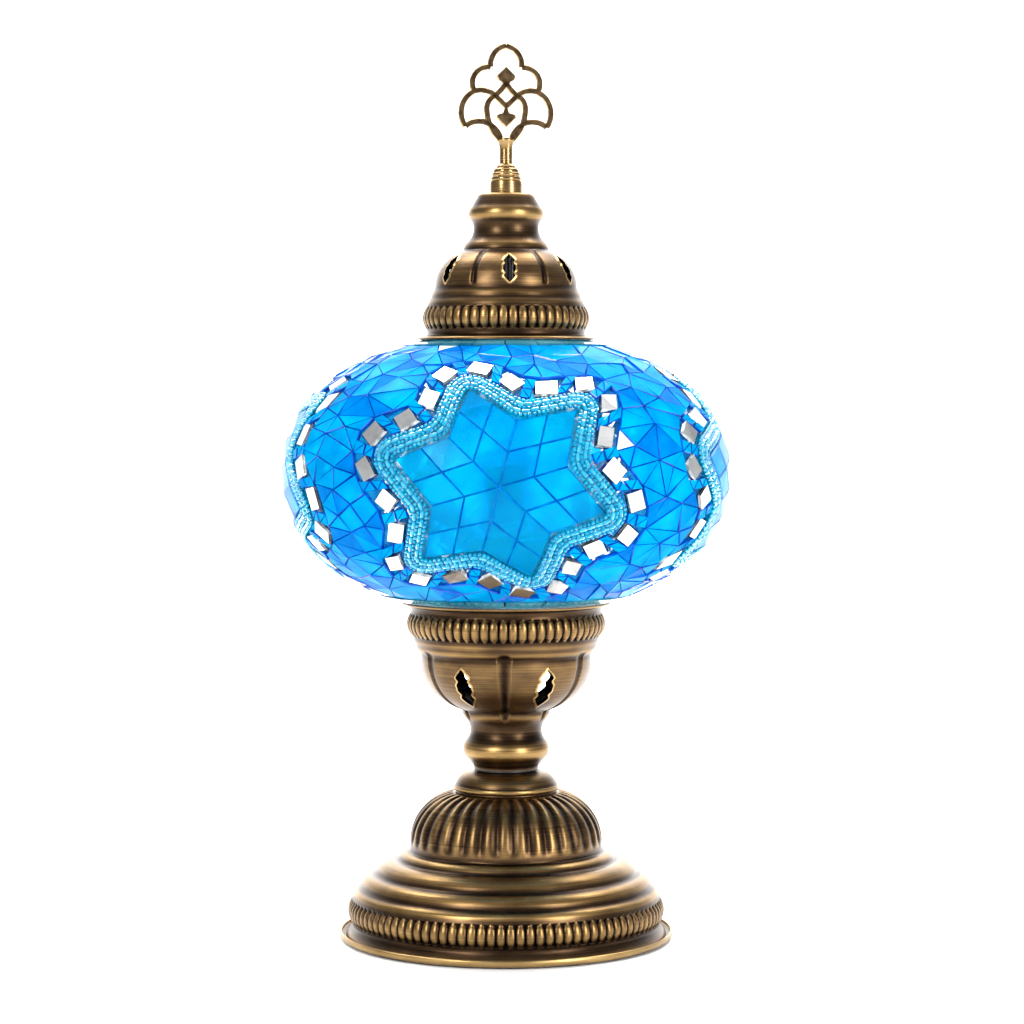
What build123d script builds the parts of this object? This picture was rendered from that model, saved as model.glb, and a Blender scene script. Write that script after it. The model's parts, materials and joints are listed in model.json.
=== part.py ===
from build123d import *
from math import acos, atan2, cos, degrees, hypot, pi, radians, sin, tan
import os

# Mosaic glass table lamp: antique brass base and cup, a flattened glass globe covered
# with glass mosaic, a pierced brass cap and a flat pierced finial. Millimetres, +Z up.
# The origin is the centre of the underside, and -Y is the front.

os.makedirs("parts", exist_ok=True)

# ---- driving dimensions: base -------------------------------------------------------
felt_thickness = 0.6
felt_radius = 61.0
saucer_radius = 67.4
saucer_lip = 3.2                 # height of the turned-up edge
saucer_sheet = 0.9
well_top = 9.5                   # pressed-up centre that clears the clamping nut
well_radius = 18.0
base_wall = 1.1
dome_crown = 59.0                # flat crown of the base shell
dome_crown_radius = 22.0
collar_top = 68.1
neck_washer_radius = 12.6

# ---- driving dimensions: stem and fasteners -----------------------------------------
pipe_radius = 4.95               # M10 x 1 lamp pipe
pipe_bore = 3.7
pipe_hole = 5.05                 # clearance hole for the pipe
pipe_bottom = 2.4
pipe_top = 112.0
cable_port_height = 20.0
cable_port_radius = 3.0
pipe_nut_flats = 14.0
pipe_nut_height = 3.4
bush_height = 11.6               # cable bush, centre above the table
bush_turn = 75.0                 # degrees from +X, at the back
bush_bore = 3.1
bush_body = 3.8
bush_flange = 4.6
bush_flange_start = 64.4
bush_length = 6.6
bush_flange_sheet = 1.2

# ---- driving dimensions: cup --------------------------------------------------------
cup_bottom = 68.9
cup_floor = 2.5
cup_mouth = 135.9                # top of the cup's flange
cup_flange_radius = 42.4
flange_sheet = 0.9
cup_flute_turn = -91.0           # degrees from +X to the front flute
vent_count = 6
flute_width = 3.4
flute_depth = 0.7

# ---- driving dimensions: lamp holder and bulb ---------------------------------------
holder_bottom = 104.0
holder_seam = 122.0              # cap below, skirt above
holder_top = 162.0
holder_radius = 14.0
holder_wall = 1.6
holder_bore = 10.6
contact_wall = 0.5
bulb_thread = 6.9                # E14 screw cap
bulb_seat = 139.0                # underside of the screw cap
bulb_top = 196.0
cover_radius = 11.0

# ---- driving dimensions: globe ------------------------------------------------------
globe_centre = 188.0
globe_radius = 90.6              # outer face of the mosaic
globe_rise = 56.2                # centre to crown of the full outline
globe_drop = 57.0                # centre to keel of the full outline
globe_power = 2.2                # superellipse exponent of the outline
mosaic_depth = 2.3
glass_inset = 2.4                # mosaic face to glass face
glass_wall = 2.5
lower_neck_radius = 34.5
lower_neck_end = 128.0
upper_neck_radius = 28.5
upper_neck_end = 247.0
seat_height = 0.8
rim_tile_count = 20
rim_tile_span = 17.2             # degrees, of the 18 that each has
rim_tile_fall = 8.0              # radial width of the row

# ---- driving dimensions: star medallions --------------------------------------------
medallion_count = 4
medallion_turn = -91.5           # degrees from +X to the front one
prism_start = 46.0               # cutting prisms start this far from the axis
star_tip = 44.0                  # six-pointed star, along the face
star_valley = 27.0
star_turn = -14.0                # degrees from level to the first tip
star_drop = 2.5                  # centre below the widest height of the globe
panel_edge = 0.4                 # star outline to the edge of its tile panel
bead_band = 8.0
mirror_offset = 14.1             # star outline to the line of mirror centres
mirrors_per_lobe = 4
mirror_size = (7.4, 6.2, 1.6)
field_offset = 19.4              # star outline to the edge of the field

# ---- driving dimensions: cap and finial ---------------------------------------------
cap_bottom = 241.4
cap_flange_radius = 35.8
cap_wall = 1.1
cap_top = 299.7
cap_flute_turn = -57.0           # degrees from +X to the flute right of the front vent
rod_radius = 2.95                # M6 rod that holds the cap
rod_hole = 3.05
rod_bottom = 229.0
rod_top = 307.0
strap_top = 236.0
strap_size = (60.0, 9.0, 2.0)
rod_nut_flats = 10.0
rod_nut_height = 4.0
stem_slot_bottom = 318.4
lamp_height = 360.0
ornament_yaw = 10.0              # degrees about +Z
ornament_thickness = 2.0
ornament_stroke = 1.7


def rolls(creases, bulges):
    """A spun profile: an arc of each sagitta between successive creases, or a line."""
    for start, end, bulge in zip(creases, creases[1:], bulges):
        if bulge:
            SagittaArc(start, end, bulge)
        else:
            Line(start, end)


def pressed_wall(outer, outer_bulges, inner, inner_bulges):
    """Closed outline of a pressed wall between an outer and an inner profile."""
    rolls(outer, outer_bulges)
    Line(outer[-1], inner[-1])
    rolls(inner, inner_bulges)
    Line(inner[0], outer[0])


def globe_turn(radius, half):
    """Outline angle at which the mosaic's face has this radius, above or below."""
    turn = degrees(acos((radius / globe_radius) ** (globe_power / 2)))
    return turn if half > 0 else -turn


def globe_point(turn, inset):
    """(radius, height) on the globe's outline, `inset` inside the mosaic's face."""
    half = globe_rise if turn > 0 else -globe_drop
    share = abs(sin(radians(turn))) ** (2 / globe_power)
    across = (globe_radius - inset) * cos(radians(turn)) ** (2 / globe_power)
    return (across, globe_centre + half * (1 - inset / abs(half)) * share)


def globe_curve(inset, first, last):
    """Outline points between two angles, for a spline."""
    count = 4 + int(abs(last - first) / 10)
    step = (last - first) / (count - 1)
    return [globe_point(first + step * index, inset) for index in range(count)]


def meridian(arc):
    """Outline angle at this length up the face from the widest height."""
    step = 0.1 if arc > 0 else -0.1
    turn, length = 0.0, 0.0
    here = globe_point(turn, 0)
    while length < abs(arc):
        turn += step
        there = globe_point(turn, 0)
        length += hypot(there[0] - here[0], there[1] - here[1])
        here = there
    return turn


def star_path(offset, distance):
    """Place and heading on the star's offset outline, from valley to tip.

    The tip lies along the first axis, and the outline returns as a mirror image.
    """
    valley = (star_valley * cos(pi / 6), star_valley * sin(pi / 6))
    length = hypot(star_tip - valley[0], valley[1])
    lean = atan2(star_tip - valley[0], valley[1])
    edge = (sin(lean), -cos(lean))
    normal = (cos(lean), sin(lean))
    lost = offset / tan(acos(edge[0] * cos(pi / 6) + edge[1] * sin(pi / 6)))
    straight = length - lost
    if distance < straight:
        along = lost + distance
        return (
            valley[0] + normal[0] * offset + edge[0] * along,
            valley[1] + normal[1] * offset + edge[1] * along,
            degrees(lean) - 90,
        )
    turn = max(lean - (distance - straight) / offset, 0)
    return (star_tip + offset * cos(turn), offset * sin(turn), degrees(turn) - 90)


def star_half_length(offset):
    """Length of the offset outline from valley to tip."""
    valley = (star_valley * cos(pi / 6), star_valley * sin(pi / 6))
    length = hypot(star_tip - valley[0], valley[1])
    lean = atan2(star_tip - valley[0], valley[1])
    lost = offset / tan(acos(sin(lean) * cos(pi / 6) - cos(lean) * sin(pi / 6)))
    return length - lost + offset * lean


def star_outline(offset):
    """Closed outline at this distance outside the star, about the star's centre."""
    half = star_half_length(offset)
    arc_from = half - offset * atan2(star_tip - star_valley * cos(pi / 6), star_valley / 2)
    places = [0, arc_from] + [arc_from + (half - arc_from) * part / 3 for part in (1, 2, 3)]
    points = []
    for lobe in range(6):
        turn = radians(star_turn + 60 * lobe)
        right = [star_path(offset, place)[:2] for place in places[1:4]]
        tip = [star_path(offset, places[4])[:2]]
        left = [star_path(offset, place)[:2] for place in places[3:0:-1]]
        corner = [star_path(offset, places[0])[:2]]
        lobe_points = [(x, -y) for x, y in right] + tip + left + corner
        for x, y in lobe_points:
            points.append((x * cos(turn) - y * sin(turn), x * sin(turn) + y * cos(turn)))
    return points


def seen_square_on(across, up):
    """Medallion coordinates along the globe's face, projected on its own plane."""
    radius, height = globe_point(meridian(up - star_drop), 0)
    return (radius * sin(across / radius), height)


def medallion_plane(index):
    """Upright plane through the axis that faces out through one medallion."""
    turn = radians(medallion_turn + 360 / medallion_count * index)
    return Plane(origin=(0, 0, 0), x_dir=(-sin(turn), cos(turn), 0),
                 z_dir=(cos(turn), sin(turn), 0))


def tangent_plane(index, across, up, heading):
    """Plane that touches the globe's face at a place on one medallion."""
    turn = meridian(up - star_drop)
    radius, height = globe_point(turn, 0)
    ahead, behind = globe_point(turn + 0.5, 0), globe_point(turn - 0.5, 0)
    slope = atan2(ahead[1] - behind[1], ahead[0] - behind[0])
    spoke = radians(medallion_turn + 360 / medallion_count * index) + across / radius
    outward = (sin(slope) * cos(spoke), sin(slope) * sin(spoke), -cos(slope))
    level = Vector(-sin(spoke), cos(spoke), 0)
    upward = Vector(outward).cross(level)
    along = level * cos(radians(heading)) + upward * sin(radians(heading))
    return Plane(origin=(radius * cos(spoke), radius * sin(spoke), height),
                 x_dir=along, z_dir=outward)


def spoke_plane(turn):
    """Upright plane that holds the axis and the spoke at this angle from +X."""
    return Plane(origin=(0, 0, 0), x_dir=(cos(radians(turn)), sin(radians(turn)), 0),
                 z_dir=(sin(radians(turn)), -cos(radians(turn)), 0))


def groove(turn, start, end, bulge):
    """Pressed flute down the outside of a bowl, cut into the part being built."""
    with BuildSketch(spoke_plane(turn)) as section:
        with BuildLine():
            SagittaArc(start, end, bulge)
        trace(line_width=2 * flute_depth)
    extrude(section.sketch, amount=flute_width / 2, both=True, mode=Mode.SUBTRACT)


def vent(turn, height, reach, half_width):
    """Cusped upright vent, pierced through the wall at this angle."""
    facing = Plane(origin=(0, 0, height), x_dir=(-sin(radians(turn)), cos(radians(turn)), 0),
                   z_dir=(cos(radians(turn)), sin(radians(turn)), 0))
    right = [
        (0, -reach),
        (0.8 * half_width, -0.62 * reach),
        (0.62 * half_width, -0.42 * reach),
        (half_width, -0.12 * reach),
        (half_width, 0.12 * reach),
        (0.62 * half_width, 0.42 * reach),
        (0.8 * half_width, 0.62 * reach),
        (0, reach),
    ]
    left = [(-x, y) for x, y in reversed(right[1:-1])]
    with BuildSketch(facing) as outline:
        with BuildLine():
            Polyline(right + left, close=True)
        make_face()
    extrude(outline.sketch, amount=cup_flange_radius, mode=Mode.SUBTRACT)


def nut(height_from, height, flats, hole):
    """Hexagon nut on the lamp's axis."""
    with BuildSketch(Plane.XY.offset(height_from)) as outline:
        RegularPolygon(flats / 2, 6, major_radius=False)
        Circle(hole, mode=Mode.SUBTRACT)
    extrude(outline.sketch, amount=height)


def ring(height_from, height, outer, inner):
    """Plain ring on the lamp's axis."""
    with BuildSketch(Plane.XY.offset(height_from)) as outline:
        Circle(outer)
        Circle(inner, mode=Mode.SUBTRACT)
    extrude(outline.sketch, amount=height)


bush_plane = Plane(
    origin=(0, 0, bush_height),
    z_dir=(cos(radians(bush_turn)), sin(radians(bush_turn)), 0),
)


def finish(piece, label):
    piece.part.label = label
    export_step(piece.part, f"parts/{label}.step")


# ---- base ---------------------------------------------------------------------------
with BuildPart() as felt_pad:
    with BuildSketch(Plane.XY):
        Circle(felt_radius)
    extrude(amount=felt_thickness)
finish(felt_pad, "felt_pad")

# A shallow dish whose edge turns up round the base shell.
with BuildPart() as base_saucer:
    with BuildSketch(Plane.XZ):
        with BuildLine():
            well_under = well_top - saucer_sheet
            Polyline(
                (pipe_hole, well_under),
                (well_radius, well_under),
                (well_radius + 4, felt_thickness),
                (saucer_radius - 1.6, felt_thickness),
            )
            SagittaArc((saucer_radius - 1.6, felt_thickness), (saucer_radius, 2.2), -0.4)
            SagittaArc((saucer_radius, 2.2), (saucer_radius - 0.2, saucer_lip), -0.05)
            offset(amount=saucer_sheet, side=Side.LEFT)
        make_face()
    revolve(axis=Axis.Z)
finish(base_saucer, "base_saucer")

# One pressing: flared foot, beaded band, four stepped rolls and the dome.
foot_height = felt_thickness + saucer_sheet
base_creases = [
    (64.8, foot_height),
    (64.8, foot_height + 0.8),
    (61.9, 6.6),
    (61.9, 16.5),
    (58.6, 20.7),
    (52.6, 26.2),
    (43.6, 31.7),
    (38.6, 35.4),
    (dome_crown_radius, dome_crown),
    (pipe_hole, dome_crown),
]
base_bulges = [0, 0.5, -2.2, -1.2, -1.8, -2.1, -1.3, -6.0, 0]
base_inner = [
    (63.7, foot_height),
    (63.7, foot_height + 0.6),
    (60.8, 6.4),
    (60.8, 16.2),
    (57.8, 19.9),
    (51.8, 25.3),
    (42.8, 30.8),
    (37.5, 34.6),
    (dome_crown_radius - 0.4, dome_crown - base_wall),
    (pipe_hole, dome_crown - base_wall),
]
with BuildPart() as base_shell:
    with BuildSketch(Plane.XZ):
        with BuildLine():
            pressed_wall(base_creases, base_bulges, base_inner, base_bulges)
        make_face()
    revolve(axis=Axis.Z)
    with BuildSketch(bush_plane):
        Circle(bush_body)
    extrude(amount=saucer_radius, mode=Mode.SUBTRACT)
finish(base_shell, "base_shell")

# Pressed ogee ring that hides the joint between dome and cup.
collar_creases = [
    (20.2, dome_crown),
    (20.3, 59.8),
    (20.6, 62.2),
    (13.6, collar_top - 0.4),
    (13.0, collar_top),
]
collar_bulges = [-0.2, -0.9, -1.4, 0]
with BuildPart() as base_collar:
    with BuildSketch(Plane.XZ):
        with BuildLine():
            rolls(collar_creases, collar_bulges)
            Polyline(
                (13.0, collar_top),
                (pipe_hole, collar_top),
                (pipe_hole, collar_top - 2.0),
                (11.0, collar_top - 2.0),
                (18.2, 61.0),
                (18.2, dome_crown),
                (20.2, dome_crown),
            )
        make_face()
    revolve(axis=Axis.Z)
finish(base_collar, "base_collar")

with BuildPart() as neck_washer:
    ring(collar_top, cup_bottom - collar_top, neck_washer_radius, pipe_hole)
finish(neck_washer, "neck_washer")

# Threaded pipe with a side port for the cord inside the base shell.
with BuildPart() as stem_pipe:
    ring(pipe_bottom, pipe_top - pipe_bottom, pipe_radius, pipe_bore)
    with BuildSketch(Plane.XZ.offset(-pipe_radius - 1)):
        with Locations((0, cable_port_height)):
            Circle(cable_port_radius)
    extrude(amount=pipe_radius + 1, mode=Mode.SUBTRACT)
finish(stem_pipe, "stem_pipe")

washer_height = 1.6
with BuildPart() as bottom_washer:
    ring(well_top - saucer_sheet - washer_height, washer_height, 12.0, pipe_hole)
finish(bottom_washer, "bottom_washer")

with BuildPart() as bottom_nut:
    nut_start = well_top - saucer_sheet - washer_height - pipe_nut_height
    nut(nut_start, pipe_nut_height, pipe_nut_flats, pipe_radius)
finish(bottom_nut, "bottom_nut")

# Snap-in bush for the cord, through the beaded band at the back.
bush_shoulder = bush_plane.offset(bush_flange_start)
with BuildPart() as cable_bush:
    with BuildSketch(bush_shoulder):
        Circle(bush_flange)
    extrude(amount=bush_flange_sheet)
    chamfer(cable_bush.edges().filter_by(GeomType.CIRCLE).sort_by(Axis.Y)[-1], 0.4)
    with BuildSketch(bush_shoulder):
        Circle(bush_body)
    extrude(amount=bush_flange_sheet - bush_length)
    with BuildSketch(bush_shoulder.offset(bush_flange_sheet)):
        Circle(bush_bore)
    extrude(amount=-bush_length, mode=Mode.SUBTRACT)
finish(cable_bush, "cable_bush")

# ---- cup ----------------------------------------------------------------------------
# One pressing: turned neck, pierced and fluted bowl, beaded band and flat flange.
cup_creases = [
    (13.2, cup_bottom),
    (13.2, cup_bottom + 0.8),
    (15.5, 72.6),
    (15.9, 80.2),
    (16.3, 88.7),
    (18.0, 92.6),
    (34.4, 115.4),
    (36.4, 118.5),
    (37.6, 122.2),
    (38.4, 131.8),
    (38.7, cup_mouth - 1.6),
    (cup_flange_radius, cup_mouth - flange_sheet),
    (cup_flange_radius, cup_mouth),
]
cup_bulges = [0, 0, -1.9, 1.6, -0.4, -5.0, -0.5, -0.3, -2.2, 0, 0.3, 0]
cup_inner = [
    (pipe_hole, cup_bottom),
    (pipe_hole, cup_bottom + cup_floor),
    (13.0, cup_bottom + cup_floor),
    (14.2, 73.4),
    (14.6, 79.8),
    (14.9, 89.2),
    (16.4, 93.4),
    (33.0, 116.2),
    (35.1, 119.4),
    (36.2, 122.6),
    (37.0, 131.4),
    (37.3, cup_mouth),
]
cup_inner_bulges = [0, 0, 0, -1.9, 1.6, -0.2, -5.0, -0.4, -0.2, -2.0, 0]
with BuildPart() as cup_shell:
    with BuildSketch(Plane.XZ):
        with BuildLine():
            pressed_wall(cup_creases, cup_bulges, cup_inner, cup_inner_bulges)
        make_face()
    revolve(axis=Axis.Z)
    for index in range(vent_count):
        groove(cup_flute_turn + 60 * index, (18.3, 93.6), (33.6, 113.6), -4.6)
        vent(cup_flute_turn + 30 + 60 * index, 103.6, 7.4, 3.1)
finish(cup_shell, "cup_shell")

with BuildPart() as cup_nut:
    nut(cup_bottom + cup_floor, pipe_nut_height, pipe_nut_flats, pipe_radius)
finish(cup_nut, "cup_nut")

# ---- lamp holder and bulb -----------------------------------------------------------
# Thermoplastic holder: a cap on the pipe, a threaded skirt, and an insulator that
# carries the two contacts.
with BuildPart() as holder_cap:
    with BuildSketch(Plane.XZ):
        with BuildLine():
            Polyline(
                (pipe_radius, holder_bottom),
                (8.5, holder_bottom),
                (8.5, 108.0),
                (holder_radius, 114.0),
                (holder_radius, holder_seam),
                (holder_radius - holder_wall, holder_seam),
                (holder_radius - holder_wall, 115.0),
                (7.5, pipe_top),
                (pipe_radius, pipe_top),
                close=True,
            )
        make_face()
    revolve(axis=Axis.Z)
finish(holder_cap, "holder_cap")

with BuildPart() as holder_skirt:
    ring(holder_seam, holder_top - holder_seam, holder_radius, holder_radius - holder_wall)
    thread_steps = [holder_seam + 12 + 4 * index for index in range(5)]
    for step in thread_steps:
        ring(step, 1.6, holder_radius + 0.8, holder_radius - 0.2)
finish(holder_skirt, "holder_skirt")

with BuildPart() as holder_ring:
    ring(154.5, 6.5, 16.0, holder_radius + 0.9)
finish(holder_ring, "holder_ring")

insulator_floor = 128.0
with BuildPart() as holder_insulator:
    ring(insulator_floor, 5.0, holder_radius - holder_wall, 0.8)
    ring(insulator_floor + 5, 24.0, holder_radius - holder_wall, holder_bore - 2.2)
finish(holder_insulator, "holder_insulator")

with BuildPart() as screw_contact:
    ring(insulator_floor + 5.4, 23.0, bulb_thread + 0.1 + contact_wall, bulb_thread + 0.1)
finish(screw_contact, "screw_contact")

with BuildPart() as centre_contact:
    with BuildSketch(Plane.XZ.offset(-2.0)):
        with BuildLine():
            Polyline(
                (-5.0, insulator_floor + 5),
                (5.0, insulator_floor + 5),
                (5.0, insulator_floor + 5.5),
                (1.0, bulb_seat - 2.1),
                (-2.5, bulb_seat - 2.1),
                (-2.5, bulb_seat - 2.6),
                (0.6, bulb_seat - 2.6),
                (3.4, insulator_floor + 5.5),
                (-5.0, insulator_floor + 5.5),
                close=True,
            )
        make_face()
    extrude(amount=4.0)
finish(centre_contact, "centre_contact")

with BuildPart() as bulb_screw_cap:
    ring(bulb_seat, 22.0, bulb_thread, bulb_thread - 0.4)
    ring(bulb_seat, 0.5, bulb_thread, 3.2)
finish(bulb_screw_cap, "bulb_screw_cap")

with BuildPart() as bulb_tip:
    with BuildSketch(Plane.XY.offset(bulb_seat - 2.0)):
        Circle(3.0)
    extrude(amount=2.0)
    chamfer(bulb_tip.faces().sort_by(Axis.Z)[0].edges(), 0.8)
finish(bulb_tip, "bulb_tip")

with BuildPart() as bulb_collar:
    with BuildSketch(Plane.XZ):
        with BuildLine():
            Polyline(
                (0, bulb_seat + 6),
                (bulb_thread - 0.4, bulb_seat + 6),
                (bulb_thread - 0.4, bulb_seat + 22),
                (bulb_thread, bulb_seat + 22),
                (cover_radius, 166.0),
                (cover_radius, 169.0),
                (0, 169.0),
                close=True,
            )
        make_face()
    revolve(axis=Axis.Z)
finish(bulb_collar, "bulb_collar")

with BuildPart() as led_column:
    with BuildSketch(Plane.XY.offset(169.0)):
        RegularPolygon(8.0, 8)
    extrude(amount=22.0)
finish(led_column, "led_column")

cover_wall = 0.9
with BuildPart() as bulb_cover:
    with BuildSketch(Plane.XY.offset(169.0)):
        Circle(cover_radius)
    extrude(amount=bulb_top - 169.0)
    fillet(bulb_cover.faces().sort_by(Axis.Z)[-1].edges(), 3.5)
    offset(amount=-cover_wall, openings=bulb_cover.faces().sort_by(Axis.Z)[0])
finish(bulb_cover, "bulb_cover")

# ---- globe and mosaic ---------------------------------------------------------------
globe_seat_radius = 41.0
with BuildPart() as globe_seat:
    ring(cup_mouth, seat_height, globe_seat_radius, lower_neck_radius + 0.6)
finish(globe_seat, "globe_seat")

glass_ends = (globe_turn(30.0, 1), globe_turn(36.5, -1))
glass_outer = globe_curve(glass_inset, *glass_ends)
glass_inner = globe_curve(glass_inset + glass_wall, *glass_ends)
with BuildPart() as globe_glass:
    with BuildSketch(Plane.XZ):
        with BuildLine():
            Spline(glass_outer)
            Polyline(
                glass_outer[-1],
                (lower_neck_radius, glass_outer[-1][1]),
                (lower_neck_radius, lower_neck_end),
                (lower_neck_radius - glass_wall, lower_neck_end),
                (lower_neck_radius - glass_wall, glass_inner[-1][1] + 0.1),
                glass_inner[-1],
            )
            Spline(glass_inner)
            Polyline(
                glass_inner[0],
                (upper_neck_radius - glass_wall, glass_inner[0][1] + 0.1),
                (upper_neck_radius - glass_wall, upper_neck_end),
                (upper_neck_radius, upper_neck_end),
                (upper_neck_radius, glass_outer[0][1] + 0.6),
                glass_outer[0],
            )
        make_face()
    revolve(axis=Axis.Z)
finish(globe_glass, "globe_glass")

upper_rim = (globe_turn(33.8, 1), globe_turn(33.8 + rim_tile_fall, 1))
lower_rim = (globe_turn(43.2, -1), globe_turn(43.2 + rim_tile_fall, -1))
rim_gap = 0.4                    # degrees along the outline


def mosaic_outline(first, last):
    """Outline of a strip of the mosaic layer between two outline angles."""
    outer = globe_curve(0, first, last)
    inner = globe_curve(mosaic_depth, first, last)
    Spline(outer)
    Line(outer[-1], inner[-1])
    Spline(inner)
    Line(inner[0], outer[0])


with BuildPart() as mosaic_layer:
    with BuildSketch(Plane.XZ):
        with BuildLine():
            mosaic_outline(upper_rim[1] - rim_gap, lower_rim[1] + rim_gap)
        make_face()
    revolve(axis=Axis.Z)


def medallion_prisms(outer_offset, inner_offset, mode):
    """Prisms out through the mosaic, one for each medallion."""
    for index in range(medallion_count):
        with BuildSketch(medallion_plane(index).offset(prism_start)) as outline:
            with BuildLine():
                Polyline([seen_square_on(*p) for p in star_outline(outer_offset)], close=True)
            make_face()
            if inner_offset is not None:
                with BuildLine():
                    Polyline([seen_square_on(*p) for p in star_outline(inner_offset)],
                             close=True)
                make_face(mode=Mode.SUBTRACT)
        extrude(outline.sketch, amount=globe_radius, mode=mode)


with BuildPart() as mosaic_field:
    add(mosaic_layer.part)
    medallion_prisms(field_offset, None, Mode.SUBTRACT)
finish(mosaic_field, "mosaic_field")

with BuildPart() as star_panels:
    medallion_prisms(panel_edge, None, Mode.ADD)
    add(mosaic_layer.part, mode=Mode.INTERSECT)
finish(star_panels, "star_panels")

with BuildPart() as bead_bands:
    medallion_prisms(bead_band, 2 * panel_edge, Mode.ADD)
    add(mosaic_layer.part, mode=Mode.INTERSECT)
finish(bead_bands, "bead_bands")

# Small bevelled mirrors in a ring round each medallion, laid tangent to the glass.
with BuildPart() as mirror_tiles:
    spacing = 2 * star_half_length(mirror_offset) / mirrors_per_lobe
    for index in range(medallion_count):
        for lobe in range(6):
            for step in range(mirrors_per_lobe):
                along = spacing * (step + 0.5) - star_half_length(mirror_offset)
                x, y, heading = star_path(
                    mirror_offset, star_half_length(mirror_offset) - abs(along))
                if along < 0:
                    y, heading = -y, 180 - heading
                lobe_turn = star_turn + 60 * lobe
                across = x * cos(radians(lobe_turn)) - y * sin(radians(lobe_turn))
                up = x * sin(radians(lobe_turn)) + y * cos(radians(lobe_turn))
                face = tangent_plane(index, across, up, heading + lobe_turn)
                with BuildSketch(face.offset(-mirror_size[2])):
                    Rectangle(mirror_size[0], mirror_size[1])
                extrude(amount=mirror_size[2])
finish(mirror_tiles, "mirror_tiles")


def rim_tiles(first, last):
    """A row of slightly separated glass tiles round one opening of the globe."""
    with BuildSketch(Plane.XZ) as strip:
        with BuildLine():
            mosaic_outline(first, last)
        make_face()
    revolve(strip.sketch, axis=Axis.Z, revolution_arc=rim_tile_span)


with BuildPart() as upper_rim_tile:
    rim_tiles(*upper_rim)

with BuildPart() as upper_rim_tiles:
    with PolarLocations(0, rim_tile_count):
        add(upper_rim_tile.part)
finish(upper_rim_tiles, "upper_rim_tiles")

with BuildPart() as lower_rim_tile:
    rim_tiles(*lower_rim)

with BuildPart() as lower_rim_tiles:
    with PolarLocations(0, rim_tile_count):
        add(lower_rim_tile.part)
finish(lower_rim_tiles, "lower_rim_tiles")

# ---- cap and its fixing -------------------------------------------------------------
# A strap under the globe's upper neck carries the rod that the finial screws on to.
with BuildPart() as cap_strap:
    with BuildSketch(Plane.XY.offset(strap_top - strap_size[2])):
        SlotOverall(strap_size[0], strap_size[1])
        Circle(rod_radius, mode=Mode.SUBTRACT)
    extrude(amount=strap_size[2])
finish(cap_strap, "cap_strap")

with BuildPart() as cap_rod:
    with BuildSketch(Plane.XY.offset(rod_bottom)):
        Circle(rod_radius)
    extrude(amount=rod_top - rod_bottom)
    chamfer(cap_rod.edges().filter_by(GeomType.CIRCLE), 0.5)
finish(cap_rod, "cap_rod")

with BuildPart() as strap_nuts:
    nut(strap_top, rod_nut_height, rod_nut_flats, rod_radius)
    nut(strap_top - strap_size[2] - rod_nut_height, rod_nut_height, rod_nut_flats, rod_radius)
finish(strap_nuts, "strap_nuts")

with BuildPart() as cap_gasket:
    ring(cap_bottom - 1.4, 1.4, 33.0, upper_neck_radius + 0.6)
finish(cap_gasket, "cap_gasket")

# One pressing: thin flange, beaded band, two rings, pierced dome and turned neck.
cap_creases = [
    (cap_flange_radius, cap_bottom),
    (cap_flange_radius, cap_bottom + 0.6),
    (31.8, cap_bottom + 1.6),
    (31.9, 245.4),
    (31.9, 254.5),
    (30.2, 257.9),
    (28.6, 261.8),
    (17.3, 276.9),
    (15.5, 280.6),
    (13.7, 288.6),
    (13.7, 294.7),
    (11.2, 299.1),
    (10.4, cap_top),
    (rod_hole + 0.1, cap_top),
]
cap_bulges = [0, -0.2, 0, -1.7, -0.3, -0.3, -3.2, -0.4, 1.3, -1.5, 0, -0.2, 0]
cap_inner = [
    (30.5, cap_bottom),
    (30.7, 245.7),
    (30.8, 254.0),
    (29.0, 257.5),
    (27.4, 261.4),
    (16.2, 276.1),
    (14.3, 280.4),
    (12.4, 288.6),
    (12.4, 294.6),
    (10.2, cap_top - cap_wall),
    (rod_hole + 0.1, cap_top - cap_wall),
]
cap_inner_bulges = [0, -1.6, -0.3, -0.3, -3.2, -0.4, 1.3, -1.4, 0, 0]
with BuildPart() as cap_shell:
    with BuildSketch(Plane.XZ):
        with BuildLine():
            pressed_wall(cap_creases, cap_bulges, cap_inner, cap_inner_bulges)
        make_face()
    revolve(axis=Axis.Z)
    for index in range(vent_count):
        groove(cap_flute_turn + 60 * index, (28.2, 262.6), (18.0, 276.2), -2.9)
        vent(cap_flute_turn + 30 + 60 * index, 269.2, 5.4, 2.3)
finish(cap_shell, "cap_shell")

# ---- finial -------------------------------------------------------------------------
stem_creases = [
    (6.5, cap_top),
    (6.5, 304.6),
    (6.0, 304.9),
    (5.6, 306.8),
    (5.2, 308.3),
    (4.2, 310.0),
    (2.6, 311.8),
    (2.6, 317.4),
    (3.3, 321.0),
    (2.6, 322.2),
]
stem_bulges = [-0.1, 0, -0.4, -0.4, -0.4, -0.2, 0, 0.1, -0.3]
ornament_plane = Plane(
    origin=(0, 0, 0),
    x_dir=(cos(radians(ornament_yaw)), sin(radians(ornament_yaw)), 0),
    z_dir=(sin(radians(ornament_yaw)), -cos(radians(ornament_yaw)), 0),
)
with BuildPart() as finial_stem:
    with BuildSketch(Plane.XZ):
        with BuildLine():
            rolls(stem_creases, stem_bulges)
            Polyline(
                (2.6, 322.2),
                (0, 322.2),
                (0, rod_top + 0.6),
                (rod_hole, rod_top + 0.6),
                (rod_hole, cap_top),
                (6.5, cap_top),
            )
        make_face()
    revolve(axis=Axis.Z)
    with BuildSketch(ornament_plane):
        with Locations((0, stem_slot_bottom)):
            Rectangle(8, 8, align=(Align.CENTER, Align.MIN))
    extrude(amount=ornament_thickness / 2, both=True, mode=Mode.SUBTRACT)
finish(finial_stem, "finial_stem")


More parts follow.
